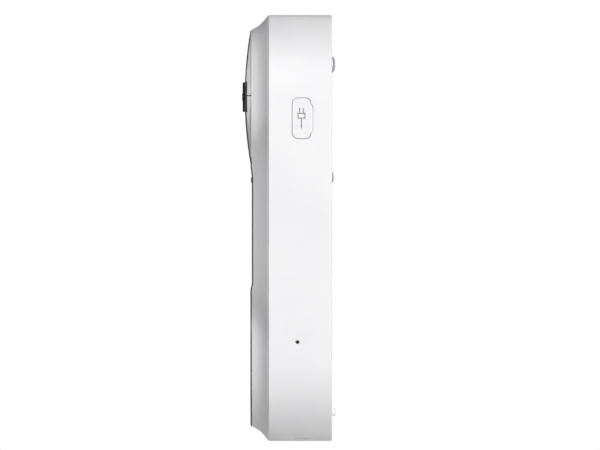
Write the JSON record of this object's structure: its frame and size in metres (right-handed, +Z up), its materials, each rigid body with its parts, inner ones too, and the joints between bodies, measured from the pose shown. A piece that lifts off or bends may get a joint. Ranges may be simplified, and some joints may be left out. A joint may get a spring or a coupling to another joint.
{
  "type": "video doorbell",
  "caption": "Upright wired video doorbell with round ends, a domed camera face over a round lit bell button, side service cover, and a flat back for the wall.",
  "frame": {"origin": "centre of the flat back face that lies on the wall", "axes": "+Z up along the doorbell, +Y out of the back towards the wall, -Y is the front, X across the width"},
  "size_m": [0.0478, 0.0273, 0.124],
  "materials": {
    "shell_plastic": "satin moulded plastic, white",
    "face_plastic": "smooth dark grey, lets infrared through",
    "black_plastic": "fine matt black",
    "lens_glass": "coated glass",
    "clear_plastic": "clear or frosted light guide plastic",
    "cover_rubber": "soft white rubber",
    "seal_rubber": "black rubber",
    "circuit_board": "green solder mask",
    "steel": "bright zinc-plated steel",
    "tin_plate": "tinned sheet",
    "copper": "copper",
    "brass": "plain brass",
    "chip_resin": "moulded resin",
    "reset_plastic": "olive plastic",
    "button_plastic": "satin moulded plastic, white"
  },
  "bodies": {
    "housing": {"rear_housing": "shell_plastic", "housing_seal": "seal_rubber", "front_frame": "black_plastic", "camera_ring": "black_plastic", "front_lens": "lens_glass", "lens_barrel": "black_plastic", "inner_lens": "lens_glass", "middle_lens": "lens_glass", "lens_holder": "black_plastic", "filter_coil": "copper", "camera_board": "circuit_board", "image_sensor": "chip_resin", "lamp_board": "circuit_board", "light_sensor_lens": "lens_glass", "microphone": "tin_plate", "microphone_gasket": "seal_rubber", "light_ring": "clear_plastic", "button_switch": "chip_resin", "button_spring": "steel", "usb_socket": "tin_plate", "usb_tongue": "black_plastic", "reset_switch": "tin_plate", "main_board": "circuit_board", "power_board": "circuit_board", "processor_shield": "tin_plate", "memory_chip": "chip_resin", "board_connector": "black_plastic", "radio_antenna": "copper", "power_inductor": "copper", "capacitor_1": "tin_plate", "capacitor_2": "tin_plate", "bridge_rectifier": "chip_resin", "speaker_frame": "black_plastic", "speaker_magnet": "steel", "terminal_block": "black_plastic", "infrared_lamp_1": "clear_plastic", "case_screw_1": "steel", "infrared_lamp_2": "clear_plastic", "case_screw_2": "steel", "infrared_lamp_3": "clear_plastic", "case_screw_3": "steel", "infrared_lamp_4": "clear_plastic", "case_screw_4": "steel", "terminal_plate_1": "brass", "terminal_plate_2": "brass"},
    "front_cover": {"faceplate": "shell_plastic", "camera_face": "face_plastic", "lower_face": "face_plastic"},
    "button": {"bell_button": "button_plastic", "switch_plunger": "black_plastic"},
    "usb_flap": {"usb_cover": "cover_rubber"},
    "reset_pin": {"reset_plunger": "reset_plastic"},
    "night_filter": {"filter_shuttle": "tin_plate", "infrared_filter": "lens_glass"},
    "speaker_diaphragm": {"speaker_cone": "chip_resin"},
    "clamp_1": {"terminal_clamp_1": "brass"},
    "clamp_2": {"terminal_clamp_2": "brass"},
    "screw_1": {"terminal_screw_1": "steel"},
    "screw_2": {"terminal_screw_2": "steel"}
  },
  "joints": [
    {"name": "front_cover_pull", "type": "slide", "parent": "housing", "child": "front_cover", "axis": [0, -1, 0], "range_m": [0, 0.02]},
    {"name": "button_press", "type": "slide", "parent": "housing", "child": "button", "axis": [0, 1, 0], "range_m": [0, 0.0006], "stiffness_N_per_m": 2500, "springref_m": -0.0002},
    {"name": "usb_flap_hinge", "type": "hinge", "parent": "housing", "child": "usb_flap", "pos_m": [0.0239, -0.01155, 0.0318], "axis": [0, 0, -1], "range_deg": [0, 100]},
    {"name": "reset_press", "type": "slide", "parent": "housing", "child": "reset_pin", "axis": [-1, 0, 0], "range_m": [0, 0.0003], "stiffness_N_per_m": 3000, "springref_m": -0.0001},
    {"name": "filter_shift", "type": "slide", "parent": "housing", "child": "night_filter", "axis": [-1, 0, 0], "range_m": [0, 0.0046]},
    {"name": "diaphragm_stroke", "type": "slide", "parent": "housing", "child": "speaker_diaphragm", "axis": [0, 0, -1], "range_m": [-0.0002, 0.0002], "stiffness_N_per_m": 1200},
    {"name": "clamp_lift_1", "type": "slide", "parent": "housing", "child": "clamp_1", "axis": [0, 1, 0], "range_m": [0, 0.00125]},
    {"name": "terminal_turn_1", "type": "hinge", "parent": "clamp_1", "child": "screw_1", "pos_m": [-0.0065, 0, 0.0476], "axis": [0, 1, 0], "range_deg": [0, 900]},
    {"name": "clamp_lift_2", "type": "slide", "parent": "housing", "child": "clamp_2", "axis": [0, 1, 0], "range_m": [0, 0.00125]},
    {"name": "terminal_turn_2", "type": "hinge", "parent": "clamp_2", "child": "screw_2", "pos_m": [0.0065, 0, 0.0476], "axis": [0, 1, 0], "range_deg": [0, 900]}
  ],
  "couplings": [
    {"joint": "terminal_turn_1", "follows": "clamp_lift_1", "rad_per_m": 12566},
    {"joint": "terminal_turn_2", "follows": "clamp_lift_2", "rad_per_m": 12566}
  ]
}
